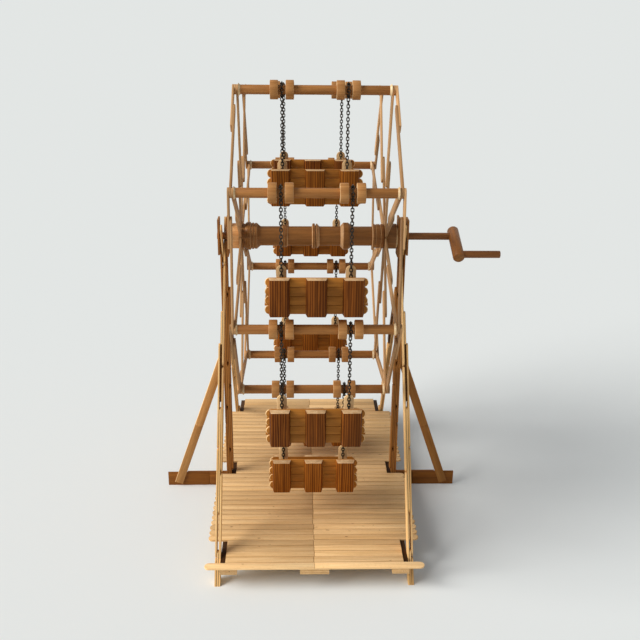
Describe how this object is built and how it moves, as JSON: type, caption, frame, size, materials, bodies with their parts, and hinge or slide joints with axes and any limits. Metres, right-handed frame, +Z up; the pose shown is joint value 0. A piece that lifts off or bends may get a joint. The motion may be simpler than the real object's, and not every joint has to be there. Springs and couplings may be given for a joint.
{
  "type": "crank ferris wheel toy",
  "caption": "Hand cranked ferris wheel toy of flat wooden sticks and dowels: seats on chains hang between two lapped rims, and A-shaped side frames stand through a slatted deck.",
  "frame": {"origin": "on the table, straight below the middle of the axle, where the tie between the posts rests", "axes": "+X along the axle to the crank, +Y to the back, +Z up"},
  "size_m": [0.382, 0.4, 0.4982],
  "materials": {
    "deck_wood": "bare wood",
    "frame_wood": "bare wood",
    "brace_wood": "bare wood",
    "spindle_wood": "oiled wood",
    "rung_wood": "oiled wood",
    "crank_wood": "oiled wood",
    "collar_wood": "bare wood",
    "seat_wood": "bare wood",
    "batten_wood": "stained wood",
    "chain": "blackened steel"
  },
  "bodies": {
    "frame": {"deck_planks": "deck_wood", "deck_runners": "deck_wood", "cross_beams": "frame_wood", "right_outrigger": "brace_wood", "left_outrigger": "brace_wood", "right_front_leg": "frame_wood", "left_front_leg": "frame_wood", "right_back_leg": "frame_wood", "left_back_leg": "frame_wood", "right_post": "frame_wood", "left_post": "frame_wood", "bearing_plates": "frame_wood", "right_brace": "brace_wood", "left_brace": "brace_wood"},
    "wheel": {"spindle": "spindle_wood", "axle_pin": "rung_wood", "crank_shaft": "rung_wood", "crank_arm": "crank_wood", "crank_handle": "crank_wood", "hub_collars": "collar_wood", "right_rim": "frame_wood", "left_rim": "frame_wood", "right_spokes": "frame_wood", "left_spokes": "frame_wood", "rungs": "rung_wood", "rung_collars": "rung_wood"},
    "hanger_1": {"seat_1": "seat_wood", "seat_1_battens": "batten_wood", "seat_1_chains": "chain", "seat_1_loops": "chain"},
    "hanger_2": {"seat_2": "seat_wood", "seat_2_battens": "batten_wood", "seat_2_chains": "chain", "seat_2_loops": "chain"},
    "hanger_3": {"seat_3": "seat_wood", "seat_3_battens": "batten_wood", "seat_3_chains": "chain", "seat_3_loops": "chain"},
    "hanger_4": {"seat_4": "seat_wood", "seat_4_battens": "batten_wood", "seat_4_chains": "chain", "seat_4_loops": "chain"},
    "hanger_5": {"seat_5": "seat_wood", "seat_5_battens": "batten_wood", "seat_5_chains": "chain", "seat_5_loops": "chain"},
    "hanger_6": {"seat_6": "seat_wood", "seat_6_battens": "batten_wood", "seat_6_chains": "chain", "seat_6_loops": "chain"},
    "hanger_7": {"seat_7": "seat_wood", "seat_7_battens": "batten_wood", "seat_7_chains": "chain", "seat_7_loops": "chain"},
    "hanger_8": {"seat_8": "seat_wood", "seat_8_battens": "batten_wood", "seat_8_chains": "chain", "seat_8_loops": "chain"}
  },
  "joints": [
    {"name": "wheel_spin", "type": "hinge", "parent": "frame", "child": "wheel", "pos_m": [0, 0, 0.324], "axis": [1, 0, 0], "continuous": true},
    {"name": "hanger_1_turn", "type": "hinge", "parent": "wheel", "child": "hanger_1", "pos_m": [0, -0.15028, 0.40559], "axis": [1, 0, 0], "continuous": true},
    {"name": "hanger_2_turn", "type": "hinge", "parent": "wheel", "child": "hanger_2", "pos_m": [0, -0.04857, 0.48796], "axis": [1, 0, 0], "continuous": true},
    {"name": "hanger_3_turn", "type": "hinge", "parent": "wheel", "child": "hanger_3", "pos_m": [0, 0.08159, 0.47428], "axis": [1, 0, 0], "continuous": true},
    {"name": "hanger_4_turn", "type": "hinge", "parent": "wheel", "child": "hanger_4", "pos_m": [0, 0.16396, 0.37257], "axis": [1, 0, 0], "continuous": true},
    {"name": "hanger_5_turn", "type": "hinge", "parent": "wheel", "child": "hanger_5", "pos_m": [0, 0.15028, 0.24241], "axis": [1, 0, 0], "continuous": true},
    {"name": "hanger_6_turn", "type": "hinge", "parent": "wheel", "child": "hanger_6", "pos_m": [0, 0.04857, 0.16004], "axis": [1, 0, 0], "continuous": true},
    {"name": "hanger_7_turn", "type": "hinge", "parent": "wheel", "child": "hanger_7", "pos_m": [0, -0.08159, 0.17372], "axis": [1, 0, 0], "continuous": true},
    {"name": "hanger_8_turn", "type": "hinge", "parent": "wheel", "child": "hanger_8", "pos_m": [0, -0.16396, 0.27543], "axis": [1, 0, 0], "continuous": true}
  ],
  "couplings": [
    {"joint": "hanger_1_turn", "follows": "wheel_spin", "ratio": -1},
    {"joint": "hanger_2_turn", "follows": "wheel_spin", "ratio": -1},
    {"joint": "hanger_3_turn", "follows": "wheel_spin", "ratio": -1},
    {"joint": "hanger_4_turn", "follows": "wheel_spin", "ratio": -1},
    {"joint": "hanger_5_turn", "follows": "wheel_spin", "ratio": -1},
    {"joint": "hanger_6_turn", "follows": "wheel_spin", "ratio": -1},
    {"joint": "hanger_7_turn", "follows": "wheel_spin", "ratio": -1},
    {"joint": "hanger_8_turn", "follows": "wheel_spin", "ratio": -1}
  ]
}
